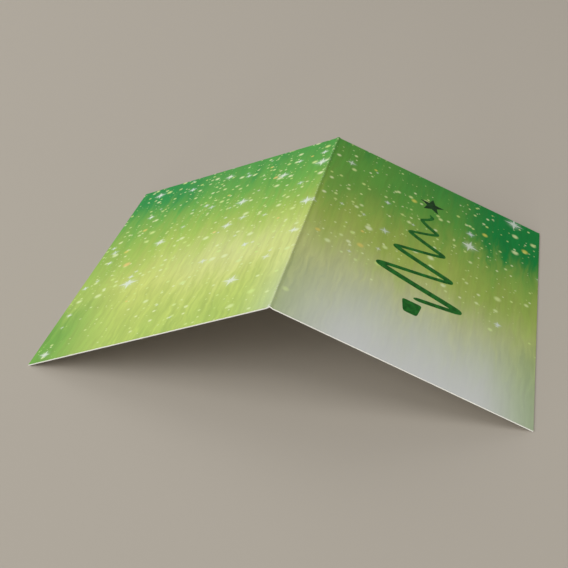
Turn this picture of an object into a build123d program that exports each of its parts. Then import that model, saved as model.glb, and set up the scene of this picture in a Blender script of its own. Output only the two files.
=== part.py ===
from build123d import *
import os

# A single-fold greeting card, standing open as a low tent on its two long free edges.
# Millimetres and degrees. X runs across the card, Y along the fold, Z up.
# The origin is on the table, under the middle of the fold.

# The sheet
leaf_width = 105.0  # from the fold to the free edge, measured along the board
leaf_length = 148.0  # along the fold
board_thickness = 0.45

# How it stands
leaf_slope = 22.5  # slope of each flat leaf to the table

# The scored fold
crease_slope = 40.0  # slope of the board close beside the fold
fold_radius = 0.15  # inside radius at the ridge
crease_flank = 0.4  # straight, steep stretch on each side of the ridge
flare_radius = 4.0  # inside radius of the hollow bend from the steep stretch to the leaf


def half_inner_line():
    """The inner face of one half, from the ridge at the origin down to the free edge."""
    ridge = JernArc((0, 0), (1, 0), fold_radius, -crease_slope)
    flank = PolarLine(ridge @ 1, crease_flank, direction=ridge % 1)
    flare = JernArc(flank @ 1, flank % 1, flare_radius, crease_slope - leaf_slope)
    used = middle_length(ridge, fold_radius, 1) + crease_flank + middle_length(flare, flare_radius, -1)
    leaf = PolarLine(flare @ 1, leaf_width - used, direction=flare % 1)
    return [ridge, flank, flare, leaf]


def middle_length(arc, inside_radius, outward):
    """Length of the board's middle line round an arc, from the arc's own radius to half the board away."""
    return arc.length * (inside_radius + outward * board_thickness / 2) / inside_radius


def card_section():
    """The whole section across the fold: the inner line, and the same line one thickness outside it."""
    with BuildLine() as outline:
        add(half_inner_line())
        mirror(about=Plane.YZ)
        offset(amount=board_thickness, side=Side.LEFT)
    return make_face(outline.edges())


def folded_card():
    """The section drawn out along the fold, with both free edges resting on the table."""
    section = Plane.XZ * card_section()
    card = extrude(section, leaf_length / 2, both=True)
    card = Pos(0, 0, -card.bounding_box().min.Z) * card
    card.label = "folded_card"
    return card


os.makedirs("parts", exist_ok=True)
export_step(folded_card(), "parts/folded_card.step")
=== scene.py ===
"""Looks of a folded greeting card that stands as a low tent: printed outside, plain white inside."""

import logging
import math
from dataclasses import dataclass, field
from enum import Enum
from typing import Callable, Sequence, Union

import bpy
import numpy as np
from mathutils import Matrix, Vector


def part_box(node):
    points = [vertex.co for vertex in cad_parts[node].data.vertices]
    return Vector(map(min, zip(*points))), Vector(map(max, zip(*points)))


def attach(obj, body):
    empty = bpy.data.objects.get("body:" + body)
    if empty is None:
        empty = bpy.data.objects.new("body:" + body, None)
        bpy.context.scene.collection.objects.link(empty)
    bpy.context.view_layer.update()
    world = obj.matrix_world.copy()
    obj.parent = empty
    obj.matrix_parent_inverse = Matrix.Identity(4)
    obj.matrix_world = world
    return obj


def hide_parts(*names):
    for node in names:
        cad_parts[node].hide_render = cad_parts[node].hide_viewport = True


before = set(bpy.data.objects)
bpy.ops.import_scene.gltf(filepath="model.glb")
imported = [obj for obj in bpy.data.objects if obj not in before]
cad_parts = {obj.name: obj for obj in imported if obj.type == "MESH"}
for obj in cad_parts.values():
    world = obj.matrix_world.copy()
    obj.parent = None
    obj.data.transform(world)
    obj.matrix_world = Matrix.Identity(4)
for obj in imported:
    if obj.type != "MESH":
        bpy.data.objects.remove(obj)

NODE = "folded_card"
BODY = "root"
PRINT_MAP = "Print"  # millimetres on the sheet laid flat: across from the fold, along from the middle
BAKE_MAP = "OFBake"  # one square that holds the whole surface once
MM = 0.001
RIM_ANGLE = math.radians(30.0)  # faces that meet more sharply than this are lit apart

log = logging.getLogger("greeting_card")
Value = Union[float, bpy.types.NodeSocket]
Colour = tuple[float, float, float, float]
Paint = Union[Colour, bpy.types.NodeSocket]
Range = tuple[float, float]


def ink(red: int, green: int, blue: int) -> Colour:
    """Turns a colour named in display steps of 0 to 255 into the linear colour that shaders mix.

    Args:
        red: Red step.
        green: Green step.
        blue: Blue step.

    Returns:
        The linear colour with full opacity.
    """
    steps = np.array([red, green, blue]) / 255.0
    linear = np.where(steps <= 0.04045, steps / 12.92, ((steps + 0.055) / 1.055) ** 2.4)
    return (*(float(c) for c in linear), 1.0)


# ---------------------------------------------------------------- meshes


@dataclass
class Patch:
    """One grid of corners that becomes a sheet of four-sided faces.

    Attributes:
        rows: Vertex numbers, as a grid.
        finish: Index of the finish that its faces wear.
        smooth: Whether light runs smoothly across its faces.
        plan: Place of each grid corner on the flat sheet, in millimetres.
        bake: Place of each grid corner in the bake square.
    """

    rows: np.ndarray
    finish: int
    smooth: bool
    plan: np.ndarray
    bake: np.ndarray

    def quads(self, grid: np.ndarray) -> np.ndarray:
        """Lists a grid's values face by face, four corners to a face, turning the same way.

        Args:
            grid: Values on the grid, with any number of numbers each.

        Returns:
            The values as faces by corners.
        """
        corners = (grid[:-1, :-1], grid[1:, :-1], grid[1:, 1:], grid[:-1, 1:])
        flat = [c.reshape(-1, *grid.shape[2:]) for c in corners]
        return np.stack(flat, axis=1)


def place_mesh(name: str, mesh: bpy.types.Mesh) -> bpy.types.Object:
    """Checks a finished mesh, keeps its rims crisp and puts it in the scene.

    Args:
        name: Name of the object.
        mesh: Its mesh.

    Returns:
        The object, linked to the scene.
    """
    mesh.update()
    mesh.validate()
    mesh.set_sharp_from_angle(angle=RIM_ANGLE)
    obj = bpy.data.objects.new(name, mesh)
    bpy.context.scene.collection.objects.link(obj)
    return obj


def mesh_from_patches(name: str, points: np.ndarray, patches: Sequence[Patch]) -> bpy.types.Object:
    """Makes one mesh object from grids of faces that share their vertices, with both of its maps.

    Args:
        name: Name of the object and its mesh.
        points: Vertices, in metres.
        patches: Grids of faces.

    Returns:
        The object, linked to the scene.
    """
    mesh = bpy.data.meshes.new(name)
    faces = np.concatenate([p.quads(p.rows) for p in patches])
    mesh.from_pydata(points.tolist(), [], faces.tolist())
    counts = [len(p.quads(p.rows)) for p in patches]
    finishes = np.repeat([p.finish for p in patches], counts)
    smooth = np.repeat([p.smooth for p in patches], counts)
    mesh.polygons.foreach_set("material_index", finishes.astype(np.int32))
    mesh.polygons.foreach_set("use_smooth", smooth)
    for map_name, grids in ((BAKE_MAP, [p.bake for p in patches]), (PRINT_MAP, [p.plan for p in patches])):
        places = np.concatenate([p.quads(g) for p, g in zip(patches, grids)])
        layer = mesh.uv_layers.new(name=map_name)
        layer.data.foreach_set("uv", places.astype(np.float32).ravel())
    return place_mesh(name, mesh)


# ---------------------------------------------------------------- nodes


class Nodes:
    """Adds nodes to one tree and links them, so that a pattern reads as arithmetic."""

    def __init__(self, tree: bpy.types.NodeTree) -> None:
        """Starts on a tree.

        Args:
            tree: The node tree that grows.
        """
        self.tree = tree

    def add(self, kind: str, **settings: object) -> bpy.types.Node:
        """Adds a node and sets its options.

        Args:
            kind: Blender's name of the node type.
            settings: Options of the node by name.

        Returns:
            The node.
        """
        node = self.tree.nodes.new(kind)
        for name, value in settings.items():
            setattr(node, name, value)
        return node

    def feed(self, socket: bpy.types.NodeSocket, value: Union[Value, Paint]) -> None:
        """Links a socket to another, or sets its own value.

        Args:
            socket: The socket that is fed.
            value: A socket to link, or a plain value.
        """
        if isinstance(value, bpy.types.NodeSocket):
            self.tree.links.new(value, socket)
        else:
            socket.default_value = value

    def math(self, operation: str, *values: Value, clamp: bool = False) -> bpy.types.NodeSocket:
        """Works out one sum.

        Args:
            operation: Blender's name of the operation.
            values: One to three numbers or sockets.
            clamp: Whether the result is held between 0 and 1.

        Returns:
            The result.
        """
        node = self.add("ShaderNodeMath", operation=operation, use_clamp=clamp)
        for socket, value in zip(node.inputs, values):
            self.feed(socket, value)
        return node.outputs[0]

    def times(self, *values: Value) -> Value:
        """Multiplies numbers.

        Args:
            values: Two or more numbers or sockets.

        Returns:
            Their product.
        """
        product = values[0]
        for value in values[1:]:
            product = self.math("MULTIPLY", product, value)
        return product

    def line(self, value: Value, slope: Value, start: Value) -> bpy.types.NodeSocket:
        """Gives the value times the slope, plus the start."""
        return self.math("MULTIPLY_ADD", value, slope, start)

    def sway(self, noise: Value, width: float) -> bpy.types.NodeSocket:
        """Spreads noise from 0 to 1 evenly round 0, over the width."""
        return self.line(noise, width, -width / 2)

    def square_sum(self, x: Value, y: Value) -> bpy.types.NodeSocket:
        """Adds the squares of two numbers."""
        return self.math("ADD", self.math("POWER", x, 2.0), self.math("POWER", y, 2.0))

    def ease(self, value: Value, start: float, end: float) -> bpy.types.NodeSocket:
        """Rises smoothly from 0 to 1 as the value goes from start to end, which may be the lower one.

        Args:
            value: What is followed.
            start: Value that gives 0.
            end: Value that gives 1.

        Returns:
            The eased share.
        """
        node = self.add("ShaderNodeMapRange", interpolation_type="SMOOTHSTEP")
        self.feed(node.inputs["Value"], value)
        node.inputs["From Min"].default_value = start
        node.inputs["From Max"].default_value = end
        return node.outputs[0]

    def blend(self, share: Value, first: Paint, second: Paint, mode: str = "MIX") -> bpy.types.NodeSocket:
        """Mixes two colours.

        Args:
            share: Share of the second colour.
            first: First colour, or a socket.
            second: Second colour, or a socket.
            mode: Blender's name of the way to mix.

        Returns:
            The mixed colour.
        """
        node = self.add("ShaderNodeMix", data_type="RGBA", blend_type=mode)
        self.feed(node.inputs[0], share)
        self.feed(node.inputs[6], first)
        self.feed(node.inputs[7], second)
        return node.outputs[2]

    def vector(self, x: Value, y: Value, z: Value = 0.0) -> bpy.types.NodeSocket:
        """Joins three numbers to a vector.

        Args:
            x: First number.
            y: Second number.
            z: Third number.

        Returns:
            The vector.
        """
        node = self.add("ShaderNodeCombineXYZ")
        for socket, value in zip(node.inputs, (x, y, z)):
            self.feed(socket, value)
        return node.outputs[0]

    def split(self, vector: bpy.types.NodeSocket) -> tuple[bpy.types.NodeSocket, ...]:
        """Takes a vector or colour apart.

        Args:
            vector: The vector or colour.

        Returns:
            Its three numbers.
        """
        node = self.add("ShaderNodeSeparateXYZ")
        self.feed(node.inputs[0], vector)
        return tuple(node.outputs)

    def noise(self, vector: bpy.types.NodeSocket, scale: float, detail: float = 2.0) -> bpy.types.NodeSocket:
        """Reads cloudy noise.

        Args:
            vector: Where it is read.
            scale: How many lumps there are to a unit.
            detail: How many finer layers are added.

        Returns:
            Noise from 0 to 1.
        """
        node = self.add("ShaderNodeTexNoise")
        self.feed(node.inputs["Vector"], vector)
        node.inputs["Scale"].default_value = scale
        node.inputs["Detail"].default_value = detail
        return node.outputs["Fac"]


def new_finish(name: str) -> tuple[bpy.types.Material, Nodes, bpy.types.Node]:
    """Starts a material with only its shader.

    Args:
        name: Name of the material.

    Returns:
        The material, its nodes and its shader.
    """
    material = bpy.data.materials.new(name)
    material.use_nodes = True
    shader = next(n for n in material.node_tree.nodes if n.type == "BSDF_PRINCIPLED")
    return material, Nodes(material.node_tree), shader


def add_bump(nodes: Nodes, shader: bpy.types.Node, height: Value, distance: float, strength: float) -> None:
    """Gives a shader a bump.

    Args:
        nodes: The material's nodes.
        shader: Its shader.
        height: Height from 0 to 1.
        distance: Metres that a height of 1 stands for.
        strength: How strongly it shows, from 0 to 1.
    """
    bump = nodes.add("ShaderNodeBump")
    bump.inputs["Distance"].default_value = distance
    bump.inputs["Strength"].default_value = strength
    nodes.feed(bump.inputs["Height"], height)
    nodes.feed(shader.inputs["Normal"], bump.outputs["Normal"])


# ---------------------------------------------------------------- finishes


INK_GLOSS = 0.10  # the shader's specular level for printed and drawn ink


class Sparkle(Enum):
    """Shape of a printed sparkle."""

    SPECK = "round"
    CROSS = "four rays"
    BURST = "eight rays"


@dataclass(frozen=True)
class Spot:
    """A place on the sheet laid flat, as nodes know it.

    Attributes:
        nodes: The material's nodes.
        across: Millimetres from the fold, with the cover positive.
        along: Millimetres from the middle of the sheet, with the cover's top positive.
    """

    nodes: Nodes
    across: Value
    along: Value

    def drawn_out(self, layer: float, scale: float, squeeze: float, detail: float = 2.0) -> Value:
        """Reads noise whose lumps are drawn out along the fold.

        Args:
            layer: Which of many unlike noises it is.
            scale: Lumps to a millimetre across.
            squeeze: Lumps along the fold for one lump across it.
            detail: How many finer layers are added.

        Returns:
            Noise from 0 to 1.
        """
        along = self.nodes.times(self.along, squeeze)
        return self.nodes.noise(self.nodes.vector(along, self.across, layer), scale, detail)


Thickness = Callable[[Spot], Value]

JITTER = 0.95  # how far the sparkles stray from an even grid, where 1 is furthest
SMALLEST = 0.35  # reach of the smallest sparkle, as a share of the largest
SPECK_HEART = 0.25  # how far the full ink of a speck goes, as a share of its reach
RAY_THINNESS = 5.0  # how many times longer than wide half a ray is
RAY_HEART = 0.55  # how far the full ink of a ray goes, as a share of its depth
DIAGONAL_RAY = 0.6  # length of a burst's slanting rays, as a share of its upright ones
HALO_FALL = 2.5  # how fast the halo round a star fades
HALO_STRENGTH = 0.75
TURN = 0.7  # radians that the stars are turned over

PEARL = (ink(240, 248, 228), ink(228, 240, 236))
PALE_LEAF = (ink(212, 236, 136), ink(234, 245, 190))
GOLD = (ink(226, 222, 96), ink(242, 206, 128))


@dataclass(frozen=True)
class SparkleLayer:
    """One layer of printed sparkles, at most one to a cell of a jittered grid.

    Attributes:
        shape: Shape of each sparkle.
        cell: Width of a cell, in millimetres.
        share: Share of cells that hold a sparkle where they lie thickest.
        reach: Length of the longest ray, in millimetres.
        strength: How strongly the ink covers.
        tints: The two colours that the sparkles range between.
        seed: Shifts the layer's grid to another place.
    """

    shape: Sparkle
    cell: float
    share: float
    reach: float
    strength: float
    tints: tuple[Colour, Colour]
    seed: float

    def paint(self, spot: Spot, thickness: Thickness, under: Paint) -> Paint:
        """Prints the layer over a colour.

        A sparkle's rays are thin diamonds: a point is in the ray along one direction where its distance
        that way, plus RAY_THINNESS times its distance the other way, is less than the reach.

        Args:
            spot: The place on the sheet.
            thickness: Says how thickly sparkles lie at a place, from 0 to 1. It is asked about the
                sparkle's heart, so that no sparkle is cut off part way.
            under: The colour under the layer.

        Returns:
            The colour with the layer on it.
        """
        nodes = spot.nodes
        place = nodes.vector(nodes.line(spot.across, 1 / self.cell, self.seed),
                             nodes.line(spot.along, 1 / self.cell, -2 * self.seed))
        cells = nodes.add("ShaderNodeTexVoronoi", voronoi_dimensions="2D", feature="F1")
        nodes.feed(cells.inputs["Vector"], place)
        cells.inputs["Scale"].default_value = 1.0
        cells.inputs["Randomness"].default_value = JITTER
        chance, size, turn = nodes.split(cells.outputs["Color"])
        here, heart = nodes.split(place), nodes.split(cells.outputs["Position"])
        reach = nodes.line(nodes.math("POWER", size, 2.0), (1 - SMALLEST) * self.reach, SMALLEST * self.reach)
        grow = nodes.math("DIVIDE", self.cell, reach)
        x, y = (nodes.times(nodes.math("SUBTRACT", h, c), grow) for h, c in zip(here, heart[:2]))
        distance = nodes.math("SQRT", nodes.square_sum(x, y))
        if self.shape is Sparkle.SPECK:
            mask = nodes.ease(distance, 1.0, SPECK_HEART)
        else:
            halo = nodes.math("POWER", nodes.math("SUBTRACT", 1.0, distance, clamp=True), HALO_FALL)
            mask = nodes.math("MAXIMUM", self.rays(nodes, x, y, turn), nodes.times(halo, HALO_STRENGTH))
        centre = Spot(nodes, nodes.times(nodes.math("SUBTRACT", heart[0], self.seed), self.cell),
                      nodes.times(nodes.math("ADD", heart[1], 2 * self.seed), self.cell))
        filled = nodes.math("LESS_THAN", chance, nodes.times(thickness(centre), self.share))
        return nodes.blend(nodes.times(mask, filled, self.strength), under, nodes.blend(turn, *self.tints))

    def rays(self, nodes: Nodes, x: Value, y: Value, turn: Value) -> Value:
        """Works out how deep a point lies in the rays of its sparkle.

        Args:
            nodes: The material's nodes.
            x: Distance across from the sparkle's heart, as a share of its reach.
            y: Distance along, as a share of its reach.
            turn: A number of the sparkle's own, from 0 to 1, that turns it by up to half of TURN each way.

        Returns:
            The share of ink.
        """
        angle = nodes.sway(turn, TURN)
        sine, cosine = nodes.math("SINE", angle), nodes.math("COSINE", angle)
        p = nodes.math("ADD", nodes.times(x, cosine), nodes.times(y, sine))
        q = nodes.math("SUBTRACT", nodes.times(y, cosine), nodes.times(x, sine))
        depth = self.cross(nodes, p, q)
        if self.shape is Sparkle.BURST:
            half = math.sqrt(0.5) / DIAGONAL_RAY
            r, s = (nodes.times(nodes.math(way, p, q), half) for way in ("ADD", "SUBTRACT"))
            depth = nodes.math("MINIMUM", depth, self.cross(nodes, r, s))
        return nodes.ease(depth, 1.0, RAY_HEART)

    def cross(self, nodes: Nodes, p: Value, q: Value) -> Value:
        """Measures how deep a point lies in a cross of two thin diamonds.

        Args:
            nodes: The material's nodes.
            p: Distance along the first diamond, as a share of the reach.
            q: Distance along the second.

        Returns:
            0 at the heart, 1 at the rim and more outside.
        """
        p, q = nodes.math("ABSOLUTE", p), nodes.math("ABSOLUTE", q)
        return nodes.math("MINIMUM", nodes.line(q, RAY_THINNESS, p), nodes.line(p, RAY_THINNESS, q))


@dataclass(frozen=True)
class PrintedFace:
    """The printed outer face: a green to straw-yellow sky in upright streaks, with sparkles, coated satin.

    Places are in millimetres, as a Spot gives them. A range is where a field starts and where it is full.

    Attributes:
        sky: Height on the sheet and the colour there.
        corner: Colour of the two upper outer corners.
        rim: Colour towards the two long free edges.
        cover_painted_shade: Painted shade on the cover, the leaf turned away from the key lamp: the share of
            red, green and blue that its colour keeps, which dims it and cools it.
        mist: Colour of the cover's pale foot.
        glow: Colour of the soft light low on the back leaf.
        crack: Colour of the board in the cracks along the fold.
        cover_start: Range across in which the back leaf's print turns into the cover's.
        corner_across: Range of the corners, outwards.
        corner_height: Range of the corners, upwards.
        corner_reach: How much further down the cover's corner comes.
        rim_across: Range of the rims, outwards.
        rim_height: Range in which the rims grow deeper, downwards.
        patch_height: Range of the darker patches, upwards.
        glow_place: Middle of the glow, across and up.
        glow_size: Half the glow's size, across and up.
        foot_height: Range of the pale foot, downwards.
        foot_across: Range of the pale foot, across.
        foot_rim: Range in which the pale foot thins out, outwards.
        layers: The sparkles, from the lowest to the topmost.
    """

    sky: tuple[tuple[float, Colour], ...] = (
        (-74.0, ink(180, 207, 100)),
        (-28.0, ink(205, 218, 110)),
        (10.0, ink(170, 200, 85)),
        (42.0, ink(107, 175, 65)),
        (74.0, ink(70, 157, 60)),
    )
    corner: Colour = ink(4, 145, 60)
    rim: Colour = ink(106, 170, 66)
    # painted shade: the cover leaf's colour is dimmed and cooled as if it lay in shade
    cover_painted_shade: Colour = (0.89, 0.86, 0.98, 1.0)
    mist: Colour = ink(226, 228, 224)
    glow: Colour = ink(228, 232, 168)
    crack: Colour = ink(236, 238, 226)
    cover_start: Range = (-3.0, 4.0)
    corner_across: Range = (56.0, 86.0)
    corner_height: Range = (36.0, 63.0)
    corner_reach: float = 14.0
    rim_across: Range = (68.0, 106.0)
    rim_height: Range = (-14.0, -58.0)
    patch_height: Range = (30.0, 66.0)
    glow_place: Range = (-30.0, -20.0)
    glow_size: Range = (32.0, 20.0)
    foot_height: Range = (3.0, -80.0)
    foot_across: Range = (-20.0, 32.0)
    foot_rim: Range = (80.0, 108.0)
    layers: tuple[SparkleLayer, ...] = (
        SparkleLayer(Sparkle.SPECK, 2.6, 0.40, 0.80, 0.50, PALE_LEAF, 31.7),
        SparkleLayer(Sparkle.SPECK, 4.3, 0.60, 1.40, 0.75, PALE_LEAF, 7.3),
        SparkleLayer(Sparkle.SPECK, 7.4, 0.80, 2.40, 0.85, PALE_LEAF, 22.6),
        SparkleLayer(Sparkle.SPECK, 19.0, 0.60, 2.60, 0.80, GOLD, 3.9),
        SparkleLayer(Sparkle.CROSS, 11.0, 0.34, 3.60, 0.65, PEARL, 12.1),
        SparkleLayer(Sparkle.BURST, 19.0, 0.75, 6.40, 0.80, PEARL, 5.4),
    )

    def make(self) -> bpy.types.Material:
        """Builds the material.

        Returns:
            The finished material.
        """
        material, nodes, shader = new_finish("printed_face")
        across, along = nodes.split(nodes.add("ShaderNodeUVMap", uv_map=PRINT_MAP).outputs[0])[:2]
        spot = Spot(nodes, across, along)
        colour = self.paint_sky(spot)
        for layer in self.layers:
            colour = layer.paint(spot, self.sparkle_thickness, colour)
        nodes.feed(shader.inputs["Base Color"], self.wear_fold(spot, colour))
        grain = nodes.noise(nodes.vector(across, along), 2.2, 3.0)
        nodes.feed(shader.inputs["Roughness"], nodes.line(grain, 0.16, 0.42))
        shader.inputs["Specular IOR Level"].default_value = INK_GLOSS
        add_bump(nodes, shader, grain, 0.012 * MM, 0.35)
        return material

    def paint_sky(self, spot: Spot) -> Paint:
        """Mixes the fields of colour.

        The height that picks the sky's colour is shifted by noise that is drawn out along the fold, which
        pulls the fields into upright streaks. Beside the fold the cover's top is yellower, so the height is
        lowered there.

        Args:
            spot: The place on the sheet.

        Returns:
            The colour of the sky.
        """
        nodes, across, along = spot.nodes, spot.across, spot.along
        waver = spot.drawn_out(6.0, 0.16, 0.5)
        bent = Spot(nodes, nodes.math("ADD", nodes.sway(waver, 7.0), across), along)
        broad = bent.drawn_out(4.0, 0.14, 0.12, 3.0)
        streak = bent.drawn_out(9.0, 0.42, 0.10, 3.0)
        shift = nodes.math("ADD", nodes.sway(broad, 34.0), nodes.sway(streak, 30.0))
        height = nodes.math("ADD", along, shift)
        cover = nodes.ease(across, *self.cover_start)
        beside = nodes.times(cover, nodes.ease(across, 46.0, 18.0), nodes.ease(height, 28.0, 72.0))
        height = nodes.line(beside, -20.0, height)
        colour = self.sky_colour(nodes, height)
        outward = nodes.line(shift, 0.5, nodes.math("ABSOLUTE", across))
        depth = nodes.line(nodes.ease(height, *self.rim_height), 0.55, 0.38)
        rim = nodes.times(nodes.ease(outward, *self.rim_across), depth, nodes.line(cover, -0.5, 1.0))
        colour = nodes.blend(rim, colour, self.rim)
        raised = nodes.line(cover, self.corner_reach, height)
        corner = nodes.times(nodes.ease(outward, *self.corner_across),
                             nodes.ease(raised, *self.corner_height))
        patch = nodes.ease(spot.drawn_out(23.0, 0.16, 0.16), 0.50, 0.74)
        patch = nodes.times(patch, nodes.ease(height, *self.patch_height), 0.6)
        colour = nodes.blend(nodes.math("MAXIMUM", corner, patch), colour, self.corner)
        # painted shade: the cover's colour is multiplied down, more in red and green than in blue
        colour = nodes.blend(cover, colour, nodes.blend(1.0, colour, self.cover_painted_shade, "MULTIPLY"))
        return self.lighten_sky(spot, height, streak, colour)

    def sky_colour(self, nodes: Nodes, height: Value) -> bpy.types.NodeSocket:
        """Picks the sky's colour at a height.

        Args:
            nodes: The material's nodes.
            height: Millimetres from the middle of the sheet, shifted by the streaks.

        Returns:
            The colour.
        """
        low, high = self.sky[0][0], self.sky[-1][0]
        ramp = nodes.add("ShaderNodeValToRGB")
        nodes.feed(ramp.inputs[0], nodes.math("DIVIDE", nodes.math("SUBTRACT", height, low), high - low))
        stops = ramp.color_ramp.elements
        for index, (place, colour) in enumerate(self.sky):
            share = (place - low) / (high - low)
            stop = stops[index] if index < 2 else stops.new(share)
            stop.position, stop.color = share, colour
        return ramp.outputs[0]

    def lighten_sky(self, spot: Spot, height: Value, streak: Value, colour: Paint) -> Paint:
        """Adds the glow, the cover's pale foot and the fine streaks, which the foot calms.

        The glow falls off as e to the power of minus the squared distance from its middle, counted in its
        half sizes.

        Args:
            spot: The place on the sheet.
            height: The shifted height that the sky follows.
            streak: The streaks' noise.
            colour: The colour so far.

        Returns:
            The lightened colour.
        """
        nodes, across, along = spot.nodes, spot.across, spot.along
        off = [nodes.math("DIVIDE", nodes.math("SUBTRACT", value, place), size)
               for value, place, size in zip((across, height), self.glow_place, self.glow_size)]
        glow = nodes.times(nodes.math("EXPONENT", nodes.times(nodes.square_sum(*off), -1.0)), 0.5)
        colour = nodes.blend(glow, colour, self.glow)
        level = nodes.math("ADD", nodes.times(along, 0.6), nodes.times(height, 0.4))
        foot = nodes.times(nodes.ease(level, *self.foot_height), nodes.ease(across, *self.foot_across),
                           nodes.line(nodes.ease(across, *self.foot_rim), -0.6, 1.0))
        colour = nodes.blend(foot, colour, self.mist)
        fine = spot.drawn_out(17.0, 0.9, 0.09)
        ripple = nodes.math("ADD", nodes.sway(fine, 0.22), nodes.sway(streak, 0.44))
        light = nodes.line(ripple, nodes.line(foot, -0.85, 1.0), 1.0)
        return nodes.blend(1.0, colour, nodes.vector(light, light, light), "MULTIPLY")

    def sparkle_thickness(self, spot: Spot) -> Value:
        """Says how thickly the sparkles lie: in drifts, thinner low down and on the cover, none on its foot.

        Args:
            spot: The place on the sheet.

        Returns:
            The thickness, from 0 to 1.
        """
        nodes, across, along = spot.nodes, spot.across, spot.along
        drift = nodes.ease(nodes.noise(nodes.vector(across, along, 2.0), 0.05), 0.34, 0.58)
        fall = nodes.line(nodes.ease(along, -60.0, 30.0), 0.40, 0.60)
        bare = nodes.times(nodes.ease(along, -4.0, -40.0), nodes.ease(across, -5.0, 6.0))
        thin = nodes.line(nodes.ease(across, *self.cover_start), -0.38, 1.0)
        return nodes.times(fall, nodes.line(drift, 0.75, 0.25), nodes.math("SUBTRACT", 1.0, bare), thin)

    def wear_fold(self, spot: Spot, colour: Paint) -> Paint:
        """Opens hair-fine cracks in the print right along the fold, where the board shows through.

        Args:
            spot: The place on the sheet.
            colour: The colour so far.

        Returns:
            The colour with the cracks.
        """
        nodes = spot.nodes
        near = nodes.ease(nodes.math("ABSOLUTE", spot.across), 0.55, 0.10)
        fleck = nodes.noise(nodes.vector(spot.across, nodes.times(spot.along, 0.45)), 3.0, 3.0)
        return nodes.blend(nodes.times(near, nodes.ease(fleck, 0.5, 0.68), 0.45), colour, self.crack)


@dataclass(frozen=True)
class MottledFinish:
    """A plain surface with a soft mottle and a fine tooth, such as board, its cut edge or drawn ink.

    Attributes:
        name: Name of the material.
        light: Colour of the paler places.
        dark: Colour between them.
        mottle: Lumps of colour to a metre, and how many finer layers they have.
        mottle_range: Noise at which the dark colour and the light one are full.
        tooth: Bumps to a metre, and how many finer layers they have.
        roughness: How much roughness the tooth adds, and the least roughness.
        relief: Height of the bumps in millimetres, and how strongly they show.
        gloss: The shader's specular level.
    """

    name: str
    light: Colour
    dark: Colour
    mottle: Range
    mottle_range: Range
    tooth: Range
    roughness: Range
    relief: Range
    gloss: float = 0.5

    def make(self) -> bpy.types.Material:
        """Builds the material.

        Returns:
            The finished material.
        """
        material, nodes, shader = new_finish(self.name)
        place = nodes.add("ShaderNodeTexCoord").outputs["Object"]
        mottle, tooth = nodes.noise(place, *self.mottle), nodes.noise(place, *self.tooth)
        colour = nodes.blend(nodes.ease(mottle, *self.mottle_range), self.dark, self.light)
        nodes.feed(shader.inputs["Base Color"], colour)
        nodes.feed(shader.inputs["Roughness"], nodes.line(tooth, *self.roughness))
        shader.inputs["Specular IOR Level"].default_value = self.gloss
        add_bump(nodes, shader, tooth, self.relief[0] * MM, self.relief[1])
        return material


PLAIN_INSIDE = MottledFinish("plain_inside", ink(242, 241, 236), ink(233, 232, 226), mottle=(140.0, 4.0),
                             mottle_range=(0.35, 0.65), tooth=(2600.0, 3.0), roughness=(0.15, 0.62),
                             relief=(0.015, 0.4))
CUT_EDGE = MottledFinish("cut_edge", ink(246, 246, 240), ink(228, 227, 218), mottle=(3500.0, 4.0),
                         mottle_range=(0.3, 0.7), tooth=(3500.0, 4.0), roughness=(0.1, 0.78),
                         relief=(0.02, 0.5))


def drawn_ink(name: str, thin: Colour, full: Colour) -> MottledFinish:
    """Describes solid ink, a little uneven like a loaded brush.

    Args:
        name: Name of the material.
        thin: Colour where the ink lies thin.
        full: Colour where it lies thick.

    Returns:
        The finish.
    """
    return MottledFinish(name, thin, full, mottle=(420.0, 3.0), mottle_range=(0.35, 0.65),
                         tooth=(2400.0, 2.0), roughness=(0.14, 0.36), relief=(0.01, 0.3), gloss=INK_GLOSS)


# ---------------------------------------------------------------- the folded sheet


BAKE_OUTER = (0.01, 0.30, 0.98)  # left, bottom and width in the bake square, most of it for the print
BAKE_INNER = (0.01, 0.02, 0.36)
BAKE_EDGE_LEFT = 0.40
BAKE_EDGES = (0.59, 0.42)  # lengths of the cut edges across the fold and along it
BAKE_EDGE_HEIGHT = 0.012


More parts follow.
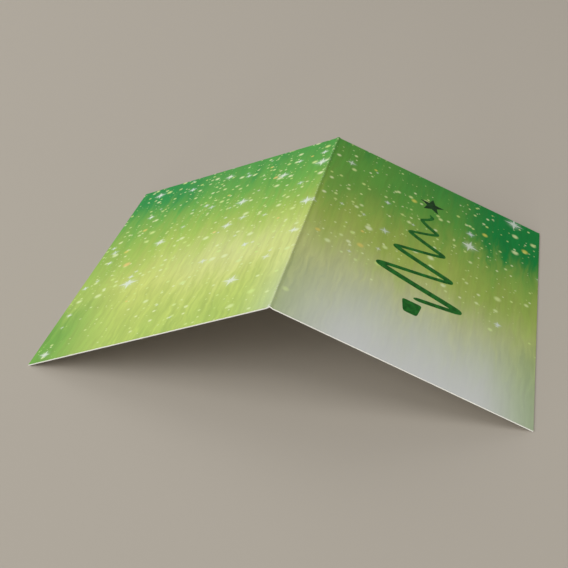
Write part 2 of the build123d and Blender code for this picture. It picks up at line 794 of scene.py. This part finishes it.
@dataclass
class FoldedBoard:
    """The folded sheet, as a section across the fold that is carried along it. Metres and degrees.

    Attributes:
        length: Length along the fold.
        low: Height of its lowest corner.
        leaf_width: From the fold to the free edge, along the board.
        thickness: Thickness of the board.
        leaf_slope: Slope of each flat leaf.
        crease_slope: Slope close beside the fold.
        fold_radius: Inside radius at the ridge.
        crease_flank: Straight, steep stretch on each side of the ridge.
        flare_radius: Inside radius of the hollow bend down to the leaf.
        steps_along: Faces along the fold.
    """

    length: float
    low: float
    leaf_width: float = 105.0 * MM
    thickness: float = 0.45 * MM
    leaf_slope: float = 22.5
    crease_slope: float = 40.0
    fold_radius: float = 0.15 * MM
    crease_flank: float = 0.4 * MM
    flare_radius: float = 4.0 * MM
    steps_along: int = 48
    drop: float = field(init=False, default=0.0)

    def __post_init__(self) -> None:
        """Works out how far below the ridge's middle line the lowest corner lies."""
        x, z, heading, _ = self.half_line()
        inner = z - self.thickness / 2 * np.cos(heading)
        self.drop = self.low - float(inner.min())

    def half_line(self) -> tuple[np.ndarray, ...]:
        """Follows the board's middle line from the ridge down to the cover's free edge.

        The line is four runs: the ridge's arc, a straight flank, the hollow bend and the flat leaf. Along a
        run the heading below level changes evenly, so a bend's points are its start plus its radius times
        the change in the heading's sine and cosine.

        Returns:
            Distance across, height, heading in radians and length along the line, at each point.
        """
        steep, gentle = math.radians(self.crease_slope), math.radians(self.leaf_slope)
        ridge = (self.fold_radius + self.thickness / 2) * steep
        flare = (self.flare_radius - self.thickness / 2) * (steep - gentle)
        leaf = self.leaf_width - ridge - self.crease_flank - flare
        runs = ((0.0, steep, ridge, 8), (steep, steep, self.crease_flank, 2), (steep, gentle, flare, 8),
                (gentle, gentle, leaf, 24))
        lines = [np.zeros((1, 4))]
        for start, end, length, steps in runs:
            share = np.linspace(0.0, 1.0, steps + 1)[1:]
            heading = start + (end - start) * share
            if start == end:
                ahead, down = length * share * math.cos(start), length * share * math.sin(start)
            else:
                radius = length / (end - start)
                ahead = radius * (np.sin(heading) - math.sin(start))
                down = radius * (math.cos(start) - np.cos(heading))
            x, z, _, gone = lines[-1][-1]
            lines.append(np.stack([x + ahead, z - down, heading, gone + length * share], axis=1))
        return tuple(np.concatenate(lines).T)

    def faces_of_section(self) -> tuple[np.ndarray, np.ndarray, np.ndarray]:
        """Gives the whole section from the back leaf's free edge to the cover's.

        Each face is the middle line moved half the thickness along its upright, which is the sine and the
        cosine of the heading.

        Returns:
            Points of the outer face, points of the inner face, and distance from the fold at each.
        """
        x, z, heading, gone = self.half_line()
        upright = np.stack([np.sin(heading), np.cos(heading)], axis=1)
        middle = np.stack([x, z + self.drop], axis=1)
        sides = []
        for offset in (self.thickness / 2, -self.thickness / 2):
            half = middle + offset * upright
            sides.append(np.concatenate([half[:0:-1] * (-1.0, 1.0), half]))
        return sides[0], sides[1], np.concatenate([-gone[:0:-1], gone])

    def on_cover(self, across: np.ndarray, along: np.ndarray, lift: np.ndarray) -> np.ndarray:
        """Places points of the cover's drawing on the flat part of the cover leaf.

        Args:
            across: Millimetres from the fold, measured on the sheet laid flat.
            along: Millimetres from the middle, towards the top.
            lift: Metres out of the outer face.

        Returns:
            The points, in metres.
        """
        x, z, heading, gone = (values[-1] for values in self.half_line())
        out = lift + self.thickness / 2
        back = gone - across * MM
        slope_x, slope_z = math.cos(heading), math.sin(heading)
        return np.stack([x - back * slope_x + out * slope_z, along * MM,
                         z + self.drop + back * slope_z + out * slope_x], axis=-1)

    def build(self) -> bpy.types.Object:
        """Builds the closed sheet: two faces and four cut edges that share their rims.

        Returns:
            The sheet, with its finishes.
        """
        outer, inner, gone = self.faces_of_section()
        y = np.linspace(-self.length / 2, self.length / 2, self.steps_along + 1)
        points = []
        for face in (outer, inner):
            grid = np.empty((len(gone), len(y), 3))
            grid[..., 0], grid[..., 1], grid[..., 2] = face[:, :1], y, face[:, 1:]
            points.append(grid.reshape(-1, 3))
        numbers = np.arange(2 * len(gone) * len(y)).reshape(2, len(gone), len(y))
        out, back = numbers
        bent, straight = BAKE_EDGES
        patches = [
            self.patch(out, 0, gone, y, BAKE_OUTER),
            self.patch(back[::-1], 1, gone[::-1], y, BAKE_INNER),
            self.strip([back[:, 0], out[:, 0]], gone, (BAKE_EDGE_LEFT, 0.25, bent), ends=True),
            self.strip([out[:, -1], back[:, -1]], gone, (BAKE_EDGE_LEFT, 0.22, bent), ends=True),
            self.strip([back[0], out[0]], y, (BAKE_EDGE_LEFT, 0.19, straight), ends=False),
            self.strip([out[-1], back[-1]], y, (BAKE_EDGE_LEFT, 0.16, straight), ends=False),
        ]
        sheet = mesh_from_patches(NODE + "_sheet", np.concatenate(points), patches)
        for finish in (PrintedFace(), PLAIN_INSIDE, CUT_EDGE):
            sheet.data.materials.append(finish.make())
        return sheet

    def patch(self, rows: np.ndarray, finish: int, gone: np.ndarray, y: np.ndarray,
              corner: tuple[float, float, float]) -> Patch:
        """Describes one whole face of the sheet.

        Args:
            rows: Its vertex numbers.
            finish: Index of its finish.
            gone: Distance from the fold at each row.
            y: Place along the fold at each column.
            corner: Left, bottom and width of its place in the bake square.

        Returns:
            The patch.
        """
        across, along = np.meshgrid(gone, y, indexing="ij")
        plan = np.stack([across, along], axis=-1) / MM
        left, bottom, width = corner
        scale = width / (2 * self.leaf_width)
        bake = np.stack([left + (across + self.leaf_width) * scale,
                         bottom + (along + self.length / 2) * scale], axis=-1)
        return Patch(rows, finish, True, plan, bake)

    def strip(self, sides: Sequence[np.ndarray], run: np.ndarray, corner: tuple[float, float, float],
              ends: bool) -> Patch:
        """Describes one cut edge.

        Args:
            sides: Vertex numbers of its two rims.
            run: Distance along it at each vertex.
            corner: Left, bottom and length of its place in the bake square.
            ends: Whether it crosses the fold.

        Returns:
            The patch.
        """
        rows = np.stack(sides, axis=1 if ends else 0)
        left, bottom, width = corner
        share = (run - run.min()) / np.ptp(run)
        places = [np.stack([left + width * share, np.full(len(run), bottom + up)], axis=-1)
                  for up in (0.0, BAKE_EDGE_HEIGHT)]
        bake = np.stack(places, axis=1 if ends else 0)
        plan = np.stack([np.stack([run / MM, np.full(len(run), side)], axis=-1)
                         for side in (0.0, self.thickness / MM)], axis=1 if ends else 0)
        return Patch(rows, 2, False, plan, bake)


# ---------------------------------------------------------------- the drawing on the cover


def closed_form(name: str, rings: np.ndarray, first: np.ndarray, last: np.ndarray) -> bpy.types.Object:
    """Makes a closed mesh from rings of points, with a single point closing each end.

    Args:
        name: Name of the object.
        rings: Points as rings by places round each ring, turning left about the way from first to last.
        first: Point that closes the first ring.
        last: Point that closes the last ring.

    Returns:
        The object, linked to the scene.
    """
    count, around = rings.shape[:2]
    numbers = np.arange(count * around).reshape(count, around)
    here, ahead = numbers, np.roll(numbers, -1, axis=1)
    quads = np.stack([here[:-1], ahead[:-1], ahead[1:], here[1:]], axis=-1).reshape(-1, 4)
    pole, tip = count * around, count * around + 1
    start = np.stack([np.full(around, pole), ahead[0], here[0]], axis=-1)
    end = np.stack([here[-1], ahead[-1], np.full(around, tip)], axis=-1)
    points = np.concatenate([rings.reshape(-1, 3), first[None], last[None]])
    mesh = bpy.data.meshes.new(name)
    mesh.from_pydata(points.tolist(), [], quads.tolist() + start.tolist() + end.tolist())
    mesh.polygons.foreach_set("use_smooth", np.ones(len(mesh.polygons), dtype=bool))
    return place_mesh(name, mesh)


ROUNDNESS = 0.95  # how near the ribbon's swing comes to a sharp zigzag, which is 1
TURN_POWER = 0.8  # under 1, which brings the ribbon's turns closer together towards its tip
TIP_SWING = 0.8  # half the width of the swing at the tip, in millimetres
TIP_TAPER = 2.2  # how many half widths of the brush each end of the line tapers over
THIN_END = 0.62  # share of the brush's width at the tip, growing to 1 at the foot
LEAN = 0.14  # how much a stroke thins with its direction, half of the most
STAR_NOTCH = 0.42  # how far out the star's notches lie, as a share of its tips
POT_SQUARE = 0.3  # power of the sine and cosine in the pot's outline: nearer 0 is squarer
POT_TAPER = 0.16  # share of its width that the pot loses from its top to its middle
BLOT_FLAT = 0.35  # power of the sine in a blot's section: nearer 0 is flatter on top
INK_RISE = 0.035 * MM  # how far drawn ink stands out of the sheet
INK_ROOT = 0.060 * MM  # how far its underside lies in the sheet


@dataclass
class RibbonTree:
    """A fir tree drawn as one ribbon that swings from side to side and widens downwards.

    Millimetres on the cover.

    Attributes:
        axis: Distance of its middle line from the fold.
        top: Height of its tip.
        bottom: Height of its lowest stroke.
        spread: Half the width of its lowest swing.
        swings: How many times it goes across and back.
        brush: Half the width of the line at its fullest.
        steps: Points along the line.
    """

    axis: float = 51.0
    top: float = 43.0
    bottom: float = -27.0
    spread: float = 21.0
    swings: float = 4.5
    brush: float = 1.75
    steps: int = 520

    def line(self) -> np.ndarray:
        """Draws the middle of the ribbon.

        Going down by t from 0 to 1, the distance from the axis is the spread times t times a swing, which is
        the arcsine of a sine, so its runs are straight and its turns round. The swing's angle grows as t to
        the power TURN_POWER.

        Returns:
            Points of the line, across and along.
        """
        t = np.linspace(0.0, 1.0, self.steps)
        angle = 2 * np.pi * self.swings * t**TURN_POWER
        swing = np.arcsin(ROUNDNESS * np.sin(angle)) / math.asin(ROUNDNESS)
        across = self.axis + (TIP_SWING + (self.spread - TIP_SWING) * t) * swing
        along = self.top + (self.bottom - self.top) * t
        return np.stack([across, along], axis=1)

    def build(self, board: FoldedBoard, finish: bpy.types.Material) -> bpy.types.Object:
        """Builds the ribbon as a flat tube along its line, half sunk in the sheet.

        Round the tube, a point lies the half width times the cosine of its angle to the side, and the rise
        or the root times the square root of its sine up or down.

        Args:
            board: The sheet it lies on.
            finish: Its ink.

        Returns:
            The ribbon.
        """
        line = self.line()
        ahead = np.gradient(line, axis=0)
        pace = np.linalg.norm(ahead, axis=1)
        ahead /= pace[:, None]
        side = np.stack([-ahead[:, 1], ahead[:, 0]], axis=1)
        gone = np.cumsum(pace) - pace[0]
        to_end = np.minimum(gone, gone[-1] - gone)
        tip = np.sqrt(1 - (1 - np.clip(to_end / (TIP_TAPER * self.brush), 0, 1)) ** 2)
        growth = THIN_END + (1 - THIN_END) * np.linspace(0.0, 1.0, self.steps)
        lean = 1 - LEAN * (1 - side[:, 1])
        half = self.brush * growth * lean * tip
        angle = np.linspace(0.0, 2 * np.pi, 12, endpoint=False)
        out, up = np.cos(angle), np.sign(np.sin(angle)) * np.sqrt(np.abs(np.sin(angle)))
        lift = np.where(up > 0, INK_RISE * up, INK_ROOT * up)
        across = line[:, :1] + side[:, :1] * half[:, None] * out
        along = line[:, 1:] + side[:, 1:] * half[:, None] * out
        rings = board.on_cover(across[1:-1], along[1:-1], np.broadcast_to(lift, across[1:-1].shape))
        poles = board.on_cover(line[[0, -1], 0], line[[0, -1], 1], np.zeros(2))
        tree = closed_form("tree_ribbon", rings, poles[0], poles[1])
        tree.data.materials.append(finish)
        return tree


class Shape(Enum):
    """Outline of a solid blot of ink."""

    STAR = "five-pointed star"
    POT = "tapered pot"


@dataclass
class InkBlot:
    """A flat blot of ink on the cover, given by its outline. Millimetres on the cover.

    Attributes:
        name: Name of the piece.
        shape: Which outline it has.
        across: Distance of its middle from the fold.
        along: Height of its middle.
        half_width: Half its width.
        half_height: Half its height.
    """

    name: str
    shape: Shape
    across: float
    along: float
    half_width: float
    half_height: float

    def outline(self) -> np.ndarray:
        """Works out the outline as points round the middle, turning left.

        The star's rim runs straight from tip to notch: at an angle a past a tip its distance is
        tip times notch times sine(36), over notch times sine(36 less a) plus tip times sine(a). The pot is a
        squared oval, its two coordinates a sine and cosine to the power POT_SQUARE, narrowing to its foot.

        Returns:
            Points of the outline, across and along.
        """
        angle = np.linspace(0.0, 2 * np.pi, 120, endpoint=False) + np.pi / 2
        if self.shape is Shape.STAR:
            notch, fifth = STAR_NOTCH, np.pi / 5
            past = np.abs((angle - np.pi / 2 + fifth) % (2 * fifth) - fifth)
            reach = notch * math.sin(fifth) / (notch * np.sin(fifth - past) + np.sin(past))
            x, y = reach * np.cos(angle), reach * np.sin(angle)
        else:
            x, y = (np.sign(f(angle)) * np.abs(f(angle)) ** POT_SQUARE for f in (np.cos, np.sin))
            x = x * (1 - POT_TAPER * (1 - y))
        return np.stack([x * self.half_width, y * self.half_height], axis=1)

    def build(self, board: FoldedBoard, finish: bpy.types.Material) -> bpy.types.Object:
        """Builds the blot: its outline carried from a middle on top, out over the rim and back underneath.

        Args:
            board: The sheet it lies on.
            finish: Its ink.

        Returns:
            The blot.
        """
        turn = np.linspace(0.0, np.pi, 13)[1:-1]
        share = np.sin(turn) ** BLOT_FLAT
        up = np.cos(turn)
        lift = np.where(up > 0, INK_RISE, INK_ROOT) * np.sign(up) * np.sqrt(np.abs(up))
        outline = self.outline()
        across = self.across + share[:, None] * outline[:, 0]
        along = self.along + share[:, None] * outline[:, 1]
        rings = board.on_cover(across, along, np.broadcast_to(lift[:, None], across.shape))
        heights = np.array([INK_RISE, -INK_ROOT])
        middle = board.on_cover(np.full(2, self.across), np.full(2, self.along), heights)
        blot = closed_form(self.name, rings, middle[0], middle[1])
        blot.data.materials.append(finish)
        return blot


# ---------------------------------------------------------------- the studio


@dataclass(frozen=True)
class Lamp:
    """One square soft lamp that faces the card. Metres and degrees.

    Attributes:
        name: Name of the lamp.
        bearing: Degrees round the card from the front, towards the cover's side.
        height: Degrees above the floor.
        level: How bright it makes a white surface that faces it.
        size: Its side.
        distance: How far it hangs from the middle of the card's foot.
    """

    name: str
    bearing: float
    height: float
    level: float
    size: float = 1.6
    distance: float = 2.4

    def hang(self) -> None:
        """Hangs the lamp.

        Its power is pi squared times the distance squared for each unit of level, because such a lamp then
        shows a white surface that faces it as bright as the level.
        """
        light = bpy.data.lights.new(self.name, "AREA")
        light.shape, light.size = "SQUARE", self.size
        light.energy = self.level * (math.pi * self.distance) ** 2
        lamp = bpy.data.objects.new(self.name, light)
        bpy.context.scene.collection.objects.link(lamp)
        around, up = math.radians(self.bearing), math.radians(self.height)
        ahead = np.array([math.sin(around) * math.cos(up), -math.cos(around) * math.cos(up), math.sin(up)])
        lamp.location = self.distance * ahead
        lamp.rotation_euler = (math.pi / 2 - up, 0.0, around)


@dataclass
class Studio:
    """Floor, backdrop light, lamps and camera. Metres and degrees.

    Attributes:
        floor_colour: Colour of the floor.
        backdrop_colour: Colour that the floor fades to and that stands behind it.
        floor_half: Half the floor's side.
        fade: Distances at which the floor starts and ends its fade.
        sky_light: Even light from all round.
        lamps: The lamps; the low one in front brightens the cut edges.
        camera_place: Where the camera stands.
        camera_turn: How far it is turned left of straight ahead.
        camera_dip: How far it looks down.
        camera_lens: Focal length for a 36 mm frame, in millimetres.
    """

    floor_colour: Colour = ink(188, 180, 167)
    backdrop_colour: Colour = ink(174, 165, 153)
    floor_half: float = 6.0
    fade: tuple[float, float] = (0.45, 1.3)
    sky_light: Colour = (0.28, 0.28, 0.28, 1.0)
    lamps: tuple[Lamp, ...] = (
        Lamp("key", -45.0, 30.0, 0.425),
        Lamp("back_key", -135.0, 30.0, 0.23),
        Lamp("top", 0.0, 80.0, 0.25),
        Lamp("front_fill", 0.0, 3.0, 0.26, size=0.25),
    )
    camera_place: tuple[float, float, float] = (0.0730, -0.3930, 0.2545)
    camera_turn: float = 11.99
    camera_dip: float = 31.98
    camera_lens: float = 69.63

    def build(self) -> None:
        """Sets up everything that isn't part of the card."""
        self.floor()
        self.sky()
        for lamp in self.lamps:
            lamp.hang()
        self.camera()

    def floor(self) -> bpy.types.Object:
        """Lays the floor, which fades into the backdrop's colour far from the card.

        Only the camera sees the fade: for light that bounces, the floor is the same all over.

        Returns:
            The floor.
        """
        side = np.linspace(-self.floor_half, self.floor_half, 9)
        grid = np.stack([*np.meshgrid(side, side, indexing="ij"), np.zeros((9, 9))], axis=-1)
        rows = np.arange(81).reshape(9, 9)
        floor = mesh_from_patches("floor", grid.reshape(-1, 3),
                                  [Patch(rows, 0, False, grid[..., :2], grid[..., :2])])
        material, nodes, shader = new_finish("floor")
        nodes.feed(shader.inputs["Base Color"], self.floor_colour)
        shader.inputs["Roughness"].default_value = 0.9
        place = nodes.add("ShaderNodeTexCoord").outputs["Object"]
        x, y, _ = nodes.split(place)
        radius = nodes.math("SQRT", nodes.square_sum(x, y))
        seen = nodes.add("ShaderNodeLightPath").outputs["Is Camera Ray"]
        plain = nodes.add("ShaderNodeEmission")
        plain.inputs["Color"].default_value = self.backdrop_colour
        fade = nodes.add("ShaderNodeMixShader")
        nodes.feed(fade.inputs[0], nodes.times(nodes.ease(radius, *self.fade), seen))
        nodes.feed(fade.inputs[1], shader.outputs[0])
        nodes.feed(fade.inputs[2], plain.outputs[0])
        output = next(n for n in material.node_tree.nodes if n.type == "OUTPUT_MATERIAL")
        nodes.feed(output.inputs["Surface"], fade.outputs[0])
        floor.data.materials.append(material)
        return floor

    def sky(self) -> None:
        """Lights the scene evenly from all round; the camera and gloss see the backdrop's colour instead."""
        world = bpy.data.worlds.new("studio")
        bpy.context.scene.world = world
        world.use_nodes = True
        nodes = Nodes(world.node_tree)
        light = nodes.add("ShaderNodeLightPath").outputs
        seen = nodes.math("MAXIMUM", light["Is Camera Ray"], nodes.math("MAXIMUM", light["Is Glossy Ray"],
                                                                         light["Is Transmission Ray"]))
        background = world.node_tree.nodes["Background"]
        nodes.feed(background.inputs["Color"], nodes.blend(seen, self.sky_light, self.backdrop_colour))
        background.inputs["Strength"].default_value = 1.0

    def camera(self) -> None:
        """Places the camera."""
        data = bpy.data.cameras.new("camera")
        data.sensor_width, data.lens, data.clip_start = 36.0, self.camera_lens, 0.01
        camera = bpy.data.objects.new("camera", data)
        camera.location = self.camera_place
        camera.rotation_euler = (math.radians(90.0 - self.camera_dip), 0.0, math.radians(self.camera_turn))
        bpy.context.scene.collection.objects.link(camera)
        bpy.context.scene.camera = camera


def report(piece: bpy.types.Object) -> None:
    """Logs one piece's name and how many faces it has."""
    log.info("%s: %d faces", piece.name, len(piece.data.polygons))


def main() -> None:
    """Builds the card, its drawing and the studio, and declares each piece to the frame."""
    logging.basicConfig(level=logging.INFO, format="%(name)s %(message)s")
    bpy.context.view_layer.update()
    low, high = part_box(NODE)
    board = FoldedBoard(length=high.y - low.y, low=low.z)
    sheet = board.build()
    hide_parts(NODE)
    fir = drawn_ink("fir_ink", ink(32, 118, 40), ink(16, 90, 28)).make()
    dark = drawn_ink("dark_ink", ink(18, 72, 28), ink(8, 50, 18)).make()
    drawing = [
        RibbonTree().build(board, fir),
        InkBlot("tree_star", Shape.STAR, 51.0, 51.5, 6.2, 6.2).build(board, dark),
        InkBlot("tree_pot", Shape.POT, 51.0, -34.0, 4.4, 4.2).build(board, fir),
    ]
    for piece in (sheet, *drawing):
        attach(piece, BODY)
        report(piece)
    Studio().build()
    bpy.context.scene.view_settings.view_transform = "Standard"


if __name__ == "__main__":
    main()
